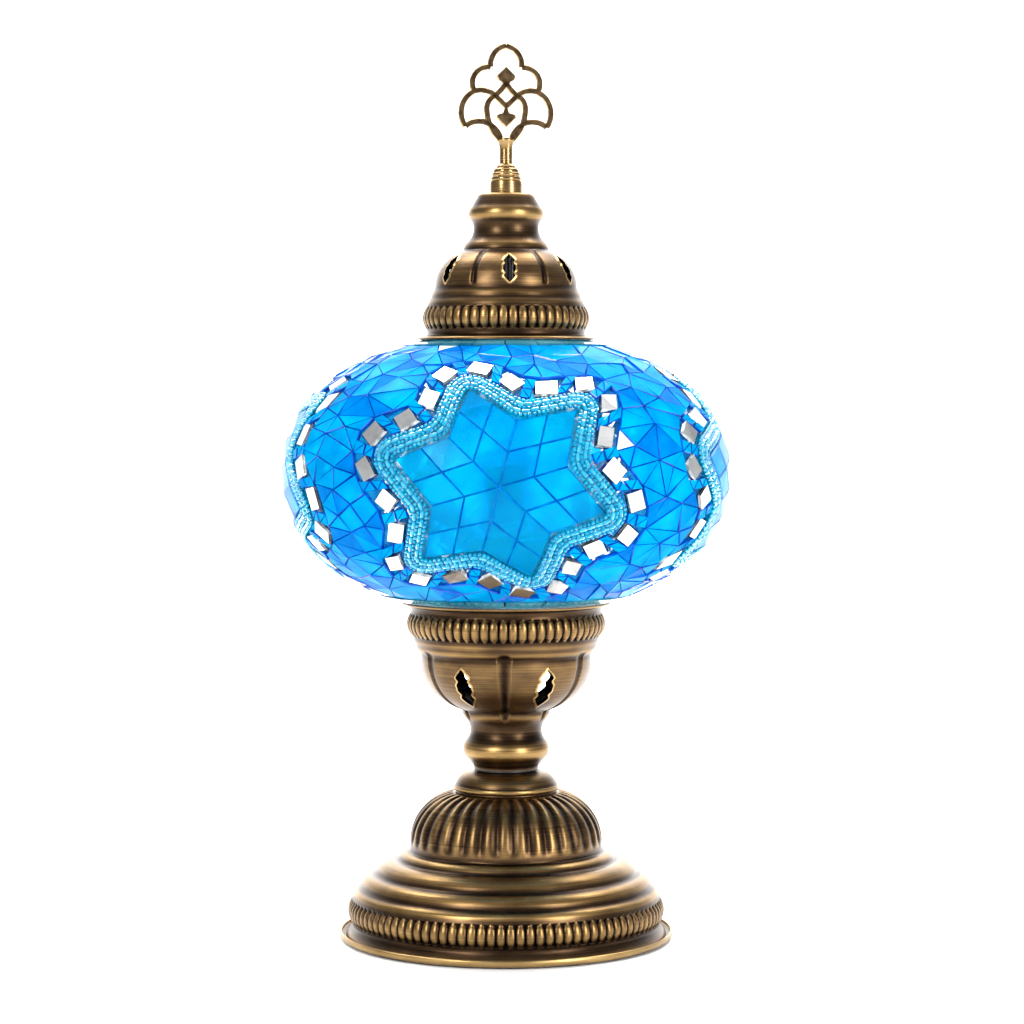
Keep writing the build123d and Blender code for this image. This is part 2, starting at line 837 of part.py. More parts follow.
# Flat openwork leaf: a trefoil arch over two interlaced lobes and two small spades.
# Each strand is a run of arcs: end, middle, end, middle, end.
crown = lamp_height - ornament_stroke / 2
ornament_strands = [
    [(0, crown), (4.6, 356.1), (6.3, 350.2)],
    [(6.3, 350.2), (12.1, 348.0), (13.1, 340.8)],
    [(16.5, 326.4), (18.4, 332.8), (13.2, 340.4), (9.6, 341.0), (4.5, 338.9)],
    [(4.5, 338.9), (2.3, 336.6), (0, 334.6)],
    [(16.5, 326.4), (11.0, 328.6), (6.4, 327.2), (3.6, 324.6), (2.2, 321.2)],
    [(2.6, 321.8), (6.8, 327.8), (7.8, 332.6), (7.0, 336.6), (4.5, 338.9)],
    [(4.5, 338.9), (2.0, 341.2), (0, 344.0)],
]
upper_spade = [(0, 350.4), (3.6, 346.8), (3.3, 345.3), (1.8, 344.4), (0, 341.9)]
lower_spade = [(0, 326.2), (3.8, 330.0), (3.6, 331.2), (1.2, 331.9), (0, 335.4)]
with BuildPart() as finial_ornament:
    with BuildSketch(ornament_plane.offset(-ornament_thickness / 2)):
        for points in ornament_strands:
            with BuildLine():
                for start, middle, end in zip(points[::2], points[1::2], points[2::2]):
                    ThreePointArc(start, middle, end)
            trace(line_width=ornament_stroke)
        for points in (upper_spade, lower_spade):
            with BuildLine():
                Polyline(*points, close=True)
            make_face()
        mirror(about=Plane.YZ)
        with Locations((0, stem_slot_bottom)):
            Rectangle(4.6, 3.6, align=(Align.CENTER, Align.MIN))
    extrude(amount=ornament_thickness)
finish(finial_ornament, "finial_ornament")
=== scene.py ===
import json
import math
import random

import bmesh
import bpy
import numpy as np
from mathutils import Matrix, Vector


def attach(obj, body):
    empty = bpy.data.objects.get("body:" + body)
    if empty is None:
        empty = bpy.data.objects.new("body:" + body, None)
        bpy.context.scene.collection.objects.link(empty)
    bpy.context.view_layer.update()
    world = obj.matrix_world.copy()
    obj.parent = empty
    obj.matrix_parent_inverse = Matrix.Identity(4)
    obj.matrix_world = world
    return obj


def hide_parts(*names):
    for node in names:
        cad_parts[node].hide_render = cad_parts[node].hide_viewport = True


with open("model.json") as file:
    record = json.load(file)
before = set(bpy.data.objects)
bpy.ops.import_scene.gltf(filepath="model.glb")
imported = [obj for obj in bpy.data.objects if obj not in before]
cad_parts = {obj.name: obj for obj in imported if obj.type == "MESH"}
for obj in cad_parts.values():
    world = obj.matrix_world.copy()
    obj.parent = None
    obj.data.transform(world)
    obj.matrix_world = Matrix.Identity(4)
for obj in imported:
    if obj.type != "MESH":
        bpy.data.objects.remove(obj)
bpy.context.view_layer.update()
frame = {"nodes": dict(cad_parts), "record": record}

# Mosaic glass table lamp. Objects are in metres; lengths of the pieces are millimetres.
MM = 0.001
MEDALLIONS = 4
rng = random.Random(11)
nodes = frame["nodes"]


# ---- camera, light and floor ----------------------------------------------------------
def aim(obj, target):
    obj.rotation_euler = (Vector(target) - obj.location).to_track_quat("-Z", "Y").to_euler()


CAMERA_PLACE, CAMERA_TILT, LENS, SENSOR = (0.0024, -1.1258, 0.2234), -2.61, 98.3, 36
FLOOR_RUN, FLOOR_BEND, WALL_TOP, FLOOR_SIDE = (-3.0, 1.6), 1.2, 4.0, 4.0
SKY_STRENGTH = 0.35
camera = bpy.data.objects.new("camera", bpy.data.cameras.new("camera"))
bpy.context.scene.collection.objects.link(camera)
camera.data.sensor_width = SENSOR
camera.data.lens = LENS
camera.location = CAMERA_PLACE
camera.rotation_euler = (math.radians(90 + CAMERA_TILT), 0, 0)
bpy.context.scene.camera = camera
bpy.context.scene.view_settings.view_transform = "Standard"


def soft_light(name, place, size, power, target=(0, 0, 0.17)):
    light = bpy.data.lights.new(name, "AREA")
    light.shape = "RECTANGLE"
    light.size, light.size_y = size
    light.energy = power
    obj = bpy.data.objects.new(name, light)
    bpy.context.scene.collection.objects.link(obj)
    obj.location = place
    aim(obj, target)


soft_light("key_light", (-0.9, -1.3, 0.9), (0.25, 0.9), 22)
soft_light("fill_light", (1.0, -1.1, 0.5), (0.2, 0.9), 18)
soft_light("top_light", (0.0, 0.3, 1.9), (1.6, 1.2), 26)
soft_light("wall_light", (0.0, 0.9, 2.3), (3.0, 0.8), 170, (0.0, 2.9, 0.6))
soft_light("far_floor_light", (0.0, 1.3, 2.2), (3.0, 1.0), 60, (0.0, 1.3, 0.0))

world = bpy.data.worlds.new("studio")
bpy.context.scene.world = world
world.use_nodes = True
world.node_tree.nodes["Background"].inputs[0].default_value = (1.0, 1.0, 1.0, 1)
world.node_tree.nodes["Background"].inputs[1].default_value = SKY_STRENGTH


# ---- materials ------------------------------------------------------------------------
def node_of(mat, kind, links=(), **settings):
    """Adds a shader node, sets its inputs or properties, and links sockets into it."""
    made = mat.node_tree.nodes.new(kind)
    for key, value in settings.items():
        if hasattr(made, key) and key not in made.inputs:
            setattr(made, key, value)
        else:
            made.inputs[key.replace("_", " ")].default_value = value
    for socket, source in links:
        mat.node_tree.links.new(source, made.inputs[socket])
    return made


def material(name, roughness, metallic=0.0, transmission=0.0, ior=1.45, coat=0.0, alpha=1.0,
             specular=0.5):
    mat = bpy.data.materials.new(name)
    mat.use_nodes = True
    shader = mat.node_tree.nodes["Principled BSDF"]
    shader.inputs["Roughness"].default_value = roughness
    shader.inputs["Metallic"].default_value = metallic
    shader.inputs["Transmission Weight"].default_value = transmission
    shader.inputs["IOR"].default_value = ior
    shader.inputs["Coat Weight"].default_value = coat
    shader.inputs["Coat Roughness"].default_value = 0.06
    shader.inputs["Alpha"].default_value = alpha
    shader.inputs["Specular IOR Level"].default_value = specular
    return mat, shader


def ramp_of(mat, source, stops):
    """Colour ramp from (position, colour) stops."""
    ramp = node_of(mat, "ShaderNodeValToRGB", [(0, source)])
    line = ramp.color_ramp
    while len(line.elements) < len(stops):
        line.elements.new(0.5)
    for element, (place, colour) in zip(line.elements, stops):
        element.position = place
        element.color = (*colour, 1)
    return ramp.outputs["Color"]


def stretched(mat, scale):
    """Object coordinates scaled along each axis."""
    coordinates = node_of(mat, "ShaderNodeTexCoord")
    mapping = node_of(mat, "ShaderNodeMapping", [("Vector", coordinates.outputs["Object"])])
    mapping.inputs["Scale"].default_value = scale
    return mapping.outputs["Vector"]


def noise(mat, scale, detail=3.0):
    made = node_of(mat, "ShaderNodeTexNoise", [("Vector", stretched(mat, scale))])
    made.inputs["Scale"].default_value = 1.0
    made.inputs["Detail"].default_value = detail
    return made.outputs["Fac"]


def add_bump(mat, shader, height, distance, strength=0.5):
    bump = node_of(mat, "ShaderNodeBump", [("Height", height)])
    bump.inputs["Strength"].default_value = strength
    bump.inputs["Distance"].default_value = distance
    mat.node_tree.links.new(bump.outputs["Normal"], shader.inputs["Normal"])


def mottled(name, dark, light, roughness, scale=120, bump=0.00005, **more):
    """Surface whose colour drifts between two close tones, with a fine grain."""
    mat, shader = material(name, roughness, **more)
    drift = noise(mat, (scale, scale, scale))
    colour = ramp_of(mat, drift, [(0.35, dark), (0.68, light)])
    mat.node_tree.links.new(colour, shader.inputs["Base Color"])
    if bump:
        add_bump(mat, shader, noise(mat, (scale * 5, scale * 5, scale * 5)), bump)
    return mat


def brass(name, stops, roughness=0.34, lines=True):
    """Antiqued brass: its tone follows a point attribute that holds painted highlight on raised parts
    and painted shade in hollows, and fine lines run round it.
    """
    mat, shader = material(name, roughness, metallic=1.0)
    links = mat.node_tree.links
    # Per-point tone carrying painted highlight and painted shade, set where the pieces are built.
    painted_light_tone = node_of(mat, "ShaderNodeAttribute", attribute_name="painted_light_tone").outputs["Fac"]
    patches = noise(mat, (70, 70, 110), 5.0)
    brushed = noise(mat, (25, 25, 2600), 2.0)
    shift = node_of(mat, "ShaderNodeMath", [(0, patches), (1, brushed)], operation="ADD")
    small = node_of(mat, "ShaderNodeMath", [(0, shift.outputs[0])], operation="MULTIPLY_ADD")
    small.inputs[1].default_value = 0.34
    small.inputs[2].default_value = -0.34
    tone = node_of(mat, "ShaderNodeMath", [(0, painted_light_tone), (1, small.outputs[0])], operation="ADD")
    links.new(ramp_of(mat, tone.outputs[0], stops), shader.inputs["Base Color"])
    rough = node_of(mat, "ShaderNodeMapRange", [("Value", brushed)])
    rough.inputs["To Min"].default_value = roughness - 0.1
    rough.inputs["To Max"].default_value = roughness + 0.12
    links.new(rough.outputs["Result"], shader.inputs["Roughness"])
    if lines:
        add_bump(mat, shader, brushed, 0.00006, 0.6)
    return mat


antique_stops = [
    (0.02, (0.003, 0.002, 0.002)),
    (0.2, (0.025, 0.014, 0.008)),
    (0.44, (0.085, 0.05, 0.025)),
    (0.68, (0.25, 0.15, 0.055)),
    (0.98, (0.6, 0.41, 0.17)),
]
gold_stops = [
    (0.0, (0.3, 0.19, 0.08)),
    (0.3, (0.55, 0.39, 0.19)),
    (0.8, (0.88, 0.7, 0.42)),
]
antique_brass = brass("antique_brass", antique_stops)
bright_brass = brass("bright_brass", gold_stops, 0.24)


leaf_dark = mottled("leaf_dark", (0.035, 0.022, 0.012), (0.1, 0.065, 0.035), 0.38, 420,
                    0.0001, metallic=1.0)
leaf_gold = mottled("leaf_gold", (0.25, 0.16, 0.06), (0.6, 0.42, 0.19), 0.28, 500,
                    0.00006, metallic=1.0)
blue_face = mottled("blue_face", (0.0, 0.34, 0.78), (0.0, 0.54, 0.96), 0.04, 90,
                    transmission=0.5, ior=1.06, specular=0.2)
azure_face = mottled("azure_face", (0.0, 0.19, 0.64), (0.0, 0.31, 0.86), 0.04, 90,
                     transmission=0.45, ior=1.06, specular=0.2)
blue_edge = mottled("blue_edge", (0.0, 0.04, 0.38), (0.0, 0.13, 0.66), 0.12, 200,
                    transmission=0.2, ior=1.4)
pale_face = mottled("pale_face", (0.55, 0.75, 0.9), (0.8, 0.92, 1.0), 0.1, 90, coat=0.4)
star_face = mottled("star_face", (0.0, 0.39, 0.79), (0.0, 0.56, 0.92), 0.17, 60,
                    bump=0, transmission=0.72, ior=1.1, specular=0.2)
star_edge = mottled("star_edge", (0.0, 0.1, 0.42), (0.0, 0.25, 0.62), 0.12, 200,
                    transmission=0.3, ior=1.3)
grout_blue = mottled("grout_blue", (0.0, 0.12, 0.5), (0.0, 0.26, 0.7), 0.35, 700,
                     bump=0.0002, alpha=0.3, specular=0.2)
grout_aqua = mottled("grout_aqua", (0.0, 0.12, 0.26), (0.0, 0.32, 0.5), 0.3, 900,
                     bump=0.0002, alpha=0.85, specular=0.3)
bead_clear = mottled("bead_clear", (0.0, 0.44, 0.7), (0.08, 0.64, 0.88), 0.08, 300,
                     bump=0, transmission=0.5, ior=1.3)
bead_aqua = mottled("bead_aqua", (0.0, 0.24, 0.48), (0.0, 0.44, 0.68), 0.1, 300,
                    bump=0, transmission=0.3, ior=1.3)
mirror_face = mottled("mirror_face", (0.8, 0.82, 0.84), (0.97, 0.98, 0.98), 0.24, 160,
                      bump=0.00002, metallic=1.0)
mirror_edge = mottled("mirror_edge", (0.08, 0.1, 0.11), (0.5, 0.54, 0.57), 0.2, 260,
                      metallic=1.0)
rim_glass = mottled("rim_glass", (0.0, 0.2, 0.32), (0.1, 0.5, 0.62), 0.08, 60,
                    bump=0.00002, transmission=0.5)
clear_glass = mottled("clear_glass", (0.1, 0.5, 0.8), (0.2, 0.6, 0.9), 0.03, 20,
                      bump=0, alpha=0.035, specular=0.2)
clear_cover = mottled("clear_cover", (0.9, 0.93, 0.93), (1.0, 1.0, 1.0), 0.04, 60,
                      bump=0, alpha=0.22)
clear_rubber = mottled("clear_rubber", (0.55, 0.58, 0.58), (0.75, 0.77, 0.76), 0.4, 150)
felt = mottled("felt", (0.012, 0.012, 0.012), (0.035, 0.035, 0.035), 0.95, 900, 0.0003)
zinc_steel = mottled("zinc_steel", (0.5, 0.51, 0.52), (0.72, 0.72, 0.7), 0.3, 400,
                     metallic=1.0)
black_plastic = mottled("black_plastic", (0.012, 0.012, 0.013), (0.03, 0.03, 0.03), 0.42, 300)
ceramic_white = mottled("ceramic_white", (0.76, 0.74, 0.7), (0.88, 0.87, 0.84), 0.5, 300)
contact_brass = mottled("contact_brass", (0.6, 0.42, 0.18), (0.85, 0.66, 0.34), 0.28, 300,
                        metallic=1.0)
bulb_metal = mottled("bulb_metal", (0.62, 0.62, 0.62), (0.85, 0.85, 0.84), 0.25, 300,
                     metallic=1.0)
white_plastic = mottled("white_plastic", (0.74, 0.74, 0.72), (0.86, 0.86, 0.84), 0.35, 300)


def led_board():
    """White board with a grid of small yellow-green squares."""
    mat, shader = material("led_board", 0.4)
    bricks = node_of(mat, "ShaderNodeTexBrick")
    separate = node_of(mat, "ShaderNodeSeparateXYZ", [(0, stretched(mat, (380, 380, 260)))])
    turn = node_of(mat, "ShaderNodeMath", operation="ARCTAN2")
    mat.node_tree.links.new(separate.outputs["Y"], turn.inputs[0])
    mat.node_tree.links.new(separate.outputs["X"], turn.inputs[1])
    around = node_of(mat, "ShaderNodeMath", [(0, turn.outputs[0])], operation="MULTIPLY")
    around.inputs[1].default_value = 8 / math.pi * 0.5
    flat = node_of(mat, "ShaderNodeCombineXYZ", [("X", around.outputs[0]),
                                                 ("Y", separate.outputs["Z"])])
    mat.node_tree.links.new(flat.outputs[0], bricks.inputs["Vector"])
    bricks.offset = 0.0
    bricks.inputs["Scale"].default_value = 1.0
    bricks.inputs["Mortar Size"].default_value = 0.16
    bricks.inputs["Brick Width"].default_value = 0.5
    bricks.inputs["Row Height"].default_value = 0.9
    bricks.inputs["Color1"].default_value = (0.45, 0.6, 0.05, 1)
    bricks.inputs["Color2"].default_value = (0.7, 0.62, 0.08, 1)
    bricks.inputs["Mortar"].default_value = (0.3, 0.42, 0.3, 1)
    mat.node_tree.links.new(bricks.outputs["Color"], shader.inputs["Base Color"])
    return mat


pale_floor = mottled("pale_floor", (0.9, 0.9, 0.9), (0.93, 0.93, 0.93), 0.6, 3, 0)
finishes = {
    "felt": felt, "antique_brass": antique_brass, "bright_brass": bright_brass,
    "dark_brass": leaf_dark, "zinc_steel": zinc_steel, "black_plastic": black_plastic,
    "ceramic_white": ceramic_white, "contact_brass": contact_brass, "bulb_metal": bulb_metal,
    "white_plastic": white_plastic, "led_board": led_board(), "clear_cover": clear_cover,
    "clear_rubber": clear_rubber, "clear_glass": clear_glass, "blue_glass": blue_face,
    "cyan_glass": star_face, "bead_glass": bead_aqua, "rim_glass": rim_glass,
    "mirror": mirror_face,
}
for part in frame["record"]["subparts"]:
    mesh = nodes[part["node"]].data
    mesh.materials.clear()
    mesh.materials.append(finishes[part["material_slot"]])


# ---- studio floor that curves up behind --------------------------------------------------
def studio_sweep():
    front, back = FLOOR_RUN
    section = [(front, 0.0), (back, 0.0)]
    section += [(back + FLOOR_BEND * math.sin(a), FLOOR_BEND - FLOOR_BEND * math.cos(a))
                for a in np.linspace(0.1, math.pi / 2, 16)]
    section.append((back + FLOOR_BEND, WALL_TOP))
    points = [(x, y, z) for x in (-FLOOR_SIDE, FLOOR_SIDE) for y, z in section]
    count = len(section)
    faces = [(i, i + 1, count + i + 1, count + i) for i in range(count - 1)]
    mesh = bpy.data.meshes.new("studio_floor")
    mesh.from_pydata(points, [], faces)
    mesh.shade_smooth()
    obj = bpy.data.objects.new("studio_floor", mesh)
    bpy.context.scene.collection.objects.link(obj)
    mesh.materials.append(pale_floor)


studio_sweep()


# ---- building pieces --------------------------------------------------------------------
def piece(name, points, faces, mats, mat_index, body, stands_for=(), painted_light_tone=None):
    """A mesh piece in metres from millimetre points."""
    mesh = bpy.data.meshes.new(name)
    mesh.from_pydata((np.asarray(points) * MM).tolist(), [], faces)
    for mat in mats:
        mesh.materials.append(mat)
    if mat_index is not None:
        mesh.polygons.foreach_set("material_index", mat_index)
    # Stores the tone with painted highlight and painted shade as a point attribute.
    if painted_light_tone is not None:
        mesh.attributes.new("painted_light_tone", "FLOAT", "POINT").data.foreach_set("value", painted_light_tone)
    mesh.update()
    obj = bpy.data.objects.new(name, mesh)
    bpy.context.scene.collection.objects.link(obj)
    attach(obj, body)
    if stands_for:
        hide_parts(*stands_for)
    return obj


def smooth(obj, degrees_sharp=40):
    obj.data.shade_smooth()
    obj.data.set_sharp_from_angle(angle=math.radians(degrees_sharp))


# ---- spun and pressed brass ----------------------------------------------------------------
def arc_points(start, end, bulge, step):
    """Points from start up to but not at end, on an arc of this sagitta."""
    (x0, z0), (x1, z1) = start, end
    chord = math.hypot(x1 - x0, z1 - z0)
    count = max(2, int(round(chord / step)) + 1)
    shares = np.linspace(0, 1, count)[:-1]
    if not bulge:
        return [(x0 + (x1 - x0) * s, z0 + (z1 - z0) * s) for s in shares]
    along = ((x1 - x0) / chord, (z1 - z0) / chord)
    side = math.copysign(1, -bulge)
    out = (along[1] * side, -along[0] * side)
    depth = abs(bulge)
    radius = (chord ** 2 / 4 + depth ** 2) / (2 * depth)
    half = 2 * math.atan(2 * depth / chord)
    points = []
    for s in shares:
        turn = half * (2 * s - 1)
        run = radius * math.sin(turn) + chord / 2
        rise = radius * math.cos(turn) - (radius - depth)
        points.append((x0 + along[0] * run + out[0] * rise, z0 + along[1] * run + out[1] * rise))
    return points


def profile(creases, bulges, step=0.4):
    points = []
    for start, end, bulge in zip(creases, creases[1:], bulges):
        points += arc_points(start, end, bulge, step)
    return np.array(points + [creases[-1]])


def soften(points, reach):
    """Rounds the creases of a profile by a short running mean."""
    padded = np.concatenate([np.repeat(points[:1], reach, 0), points,
                             np.repeat(points[-1:], reach, 0)])
    mean = sum(padded[k:k + len(points)] for k in range(2 * reach + 1)) / (2 * reach + 1)
    mean[0], mean[-1] = points[0], points[-1]
    return mean


def crest_light_and_shade(outer, reach=4):
    """Tone by shape: crests of the rolls are painted light as highlight, and creases are painted dark
    as shade.
    """
    ahead = outer[np.minimum(np.arange(len(outer)) + reach, len(outer) - 1)]
    behind = outer[np.maximum(np.arange(len(outer)) - reach, 0)]
    run = ahead - behind
    length = np.hypot(run[:, 0], run[:, 1]) + 1e-9
    normal = np.stack([run[:, 1], -run[:, 0]], 1) / length[:, None]
    proud = ((outer - (ahead + behind) / 2) * normal).sum(1)
    # Convex places get a painted highlight, concave creases get painted shade.
    return np.clip(0.45 + 0.75 * proud, 0.26, 0.72), normal


def bead_relief(angle, height, low, high, count, depth):
    """Row of upright pointed beads: (relief, tone, mask) over a band; the crowns are painted light as
    highlight and the gaps between beads dark as shade.
    """
    share = (height - (low + high) / 2) / ((high - low) / 2)
    inside = np.abs(share) < 1
    across = np.abs((angle * count / (2 * np.pi)) % 1 - 0.5)
    width = 0.485 * np.clip(1 - np.abs(share) ** 5.0, 0, 1) ** 0.5 + 0.001
    rise = np.sqrt(np.clip(1 - (across / width) ** 2, 0, 1))
    rise = np.where(inside, rise, 0)
    fade = np.clip((1 - np.abs(share)) / 0.12, 0, 1)
    relief = np.where(inside, (rise - 1) * depth * fade, 0)
    # Painted highlight on the bead crowns, painted shade between them.
    painted_light_tone = 0.02 + 0.64 * np.clip(1.5 * rise - 0.35, 0, 1)
    return relief, painted_light_tone, inside


def away(angle, turn):
    """Signed angle in radians from a spoke given in degrees."""
    return (angle - math.radians(turn) + np.pi) % (2 * np.pi) - np.pi


def cusped(reach, half_width):
    """Outline of a cusped upright vent, points (across, up)."""
    right = [(0, -reach), (0.62, -0.72), (0.9, -0.56), (0.62, -0.36), (0.98, -0.16),
             (0.98, 0.16), (0.62, 0.36), (0.9, 0.56), (0.62, 0.72), (0, reach)]
    right = [(x * half_width, y if abs(x) < 0.01 else y * reach) for x, y in right]
    return right + [(-x, y) for x, y in reversed(right[1:-1])]


def edge_distance(px, py, outline):
    """Distance of points from a closed outline, and whether they are inside it."""
    best = np.full(px.shape, 1e9)
    inside = np.zeros(px.shape, bool)
    for (x0, y0), (x1, y1) in zip(outline, outline[1:] + outline[:1]):
        dx, dy = x1 - x0, y1 - y0
        share = np.clip(((px - x0) * dx + (py - y0) * dy) / (dx * dx + dy * dy + 1e-12), 0, 1)
        best = np.minimum(best, np.hypot(px - x0 - share * dx, py - y0 - share * dy))
        if y0 != y1:
            crosses = ((y0 > py) != (y1 > py)) & (px < dx * (py - y0) / dy + x0)
            inside ^= crosses
    return best, inside


def spun_shell(name, outer, inner, segments, relief, mat, body, vents=None, sharp=55):
    """Closed pressed shell on the axis, with relief on its outside and pierced vents."""
    crest_light_line, normal = crest_light_and_shade(outer)
    angle = np.arange(segments) * 2 * np.pi / segments
    ang, _ = np.meshgrid(angle, np.arange(len(outer)))
    rad = np.repeat(outer[:, :1], segments, 1)
    hgt = np.repeat(outer[:, 1:], segments, 1)
    painted_light_tone = np.repeat(crest_light_line[:, None], segments, 1)
    lift = np.zeros_like(rad)
    for change in relief:
        lift, painted_light_tone = change(ang, rad, hgt, lift, painted_light_tone)
    if vents:
        turns, vent_height, reach, half_width = vents
        for turn in turns:
            gap, inside = edge_distance(away(ang, turn) * rad, hgt - vent_height,
                                        cusped(reach, half_width))
            rim = np.clip(1.25 - gap / 0.85, 0, 1)
            lift += 0.3 * rim * rim * (3 - 2 * rim)
            # The raised rims round the vents are painted bright as highlight.
            painted_light_tone = np.maximum(painted_light_tone, np.where(rim > 0.35, 0.9, 0))
    rad = rad + lift * normal[:, :1]
    hgt = hgt + lift * normal[:, 1:]
    rings = [np.stack([rad * np.cos(ang), rad * np.sin(ang), hgt], 2).reshape(-1, 3)]
    for r, z in inner[::-1]:
        rings.append(np.stack([r * np.cos(angle), r * np.sin(angle), np.full(segments, z)], 1))
    points = np.concatenate(rings)
    rows = len(outer) + len(inner)
    # The shell's inside faces are painted near black as shade.
    lit_and_shaded_tone = np.concatenate([painted_light_tone.reshape(-1), np.full(len(inner) * segments, 0.05)])
    faces = []
    for row in range(rows):
        nxt = (row + 1) % rows
        for k in range(segments):
            k2 = (k + 1) % segments
            faces.append((row * segments + k, row * segments + k2,
                          nxt * segments + k2, nxt * segments + k))
    obj = piece(name + "_relief", points, faces, [mat], None, body, [name],
                np.clip(lit_and_shaded_tone, 0, 1))
    if vents:
        pierce(obj, turns, vent_height, cusped(reach, half_width), outer[:, 0].max() + 4)
    smooth(obj, sharp)
    return obj


def pierce(obj, turns, height, outline, far):
    """Cuts upright vents through the wall."""
    points, faces = [], []
    near, count = 9.0, len(outline)
    for turn in turns:
        ca, sa = math.cos(math.radians(turn)), math.sin(math.radians(turn))
        first = len(points)
        for distance in (near, far):
            for x, y in outline:
                points.append((ca * distance - sa * x, sa * distance + ca * x, height + y))
        faces.append(tuple(first + i for i in range(count)))
        faces.append(tuple(first + count + i for i in reversed(range(count))))
        for i in range(count):
            j = (i + 1) % count
            faces.append((first + j, first + i, first + count + i, first + count + j))
    mesh = bpy.data.meshes.new("vent_cutter")
    mesh.from_pydata((np.array(points) * MM).tolist(), [], faces)
    shape = bmesh.new()
    shape.from_mesh(mesh)
    bmesh.ops.recalc_face_normals(shape, faces=shape.faces)
    shape.to_mesh(mesh)
    shape.free()
    cutter = bpy.data.objects.new("vent_cutter", mesh)
    bpy.context.scene.collection.objects.link(cutter)
    cut = obj.modifiers.new("vents", "BOOLEAN")
    cut.operation = "DIFFERENCE"
    cut.solver = "EXACT"
    cut.object = cutter
    bpy.context.view_layer.update()
    pierced = bpy.data.meshes.new_from_object(
        obj.evaluated_get(bpy.context.evaluated_depsgraph_get()))
    obj.modifiers.clear()
    obj.data = pierced
    bpy.data.objects.remove(cutter)


def beaded(low, high, count, depth):
    def change(ang, rad, hgt, lift, painted_light_tone):
        relief, lit_and_shaded_tone, inside = bead_relief(ang, hgt, low, high, count, depth)
        return lift + relief, np.where(inside, lit_and_shaded_tone, painted_light_tone)
    return change


def dome_flutes(ang, rad, hgt, lift, painted_light_tone):
    """Rounded flutes down the dome that fade out at its foot; their grooves are painted dark as shade
    and their ridges light as highlight.
    """
    wave = 0.5 + 0.5 * np.cos(ang * 36 + 0.4)
    on = np.clip((hgt - 37.0) / 5.0, 0, 1) * np.clip((rad - 20.8) / 2.0, 0, 1)
    on = np.where(hgt > 35.4, on * on * (3 - 2 * on), 0)
    drift = 0.08 * np.sin(5 * ang + 1.0) + 0.05 * np.sin(11 * ang)
    # The second value paints the grooves dark as shade and the ridges light as highlight.
    return (lift - 0.85 * (1 - wave) ** 1.3 * on,
            painted_light_tone * (1 - on) + on * (0.24 + (0.42 + drift) * wave ** 1.5))


def wall_flutes(turns, low, high, wide_low, wide_high, depth):
    """Pressed flutes down a bowl, wider at the top; painted dark inside as shade, with a painted
    highlight along their edges.
    """
    def change(ang, rad, hgt, lift, painted_light_tone):
        share = np.clip((hgt - low) / (high - low), 0, 1)
        width = wide_low + (wide_high - wide_low) * share
        on = np.clip(np.minimum(hgt - low, high - hgt) / 1.4, 0, 1)
        for turn in turns:
            across = np.abs(away(ang, turn) * rad) / (width / 2)
            deep = np.clip(1 - across ** 2, 0, 1) * on
            lift = lift - depth * deep
            # Painted shade inside the flute.
            painted_light_tone = painted_light_tone * (1 - deep) + 0.16 * deep
            # Painted highlight along the flute's edges.
            rim = np.exp(-((across - 1.2) / 0.22) ** 2) * on
            painted_light_tone = np.maximum(painted_light_tone, 0.6 * rim)
        return lift, painted_light_tone
    return change


foot = 1.5
base_outer = profile(
    [(64.8, foot), (64.8, 2.3), (61.9, 6.6), (61.9, 16.5), (58.6, 20.7), (52.6, 26.2),
     (43.6, 31.7), (38.6, 35.4), (22, 59), (5.05, 59)],
    [0, 0.5, -2.2, -1.2, -1.8, -2.1, -1.3, -6.0, 0])
base_inner = profile(
    [(63.7, foot), (63.7, 2.1), (60.6, 6.4), (60.6, 16.2), (57.4, 19.9), (51.2, 25.3),
     (42.2, 30.8), (36.2, 34.6), (21.0, 57.4), (5.05, 57.4)],
    [0, 0.5, -2.0, -1.2, -1.8, -2.1, -1.3, -6.0, 0], 3.0)
spun_shell("base_shell", soften(base_outer, 3), base_inner, 1040,
           [beaded(6.9, 16.3, 104, 0.95), dome_flutes], antique_brass, "base")


def gold_lip(ang, rad, hgt, lift, painted_light_tone):
    """The saucer's upstanding edge is coloured light gold; its floor, under the base shell, is painted
    dark as shade.
    """
    return lift, np.where(rad > 66.2, 0.78, 0.16)


saucer_outer = profile(
    [(65.8, 0.6), (67.4, 2.2), (67.25, 3.2), (66.45, 3.2), (66.5, 2.5), (65.3, 1.5),
     (22.0, 1.5), (18.0, 9.5), (5.05, 9.5)], [-0.4, -0.05, -0.2, 0, 0.3, 0, 0, 0], 0.3)
saucer_inner = np.array([(65.0, 0.6), (21.6, 0.6), (17.2, 8.6), (5.05, 8.6)])
spun_shell("base_saucer", saucer_outer, saucer_inner, 240, [gold_lip], antique_brass, "base",
           sharp=30)

collar_outer = profile([(20.2, 59.0), (20.3, 59.8), (20.6, 62.2), (13.6, 67.7), (13.0, 68.1)],
                       [-0.2, -0.9, -1.4, 0], 0.3)
collar_inner = np.array([(18.2, 59.0), (18.2, 61.0), (11.0, 66.1), (5.05, 66.1), (5.05, 68.1)])
spun_shell("base_collar", collar_outer, collar_inner, 120, [], antique_brass, "base")

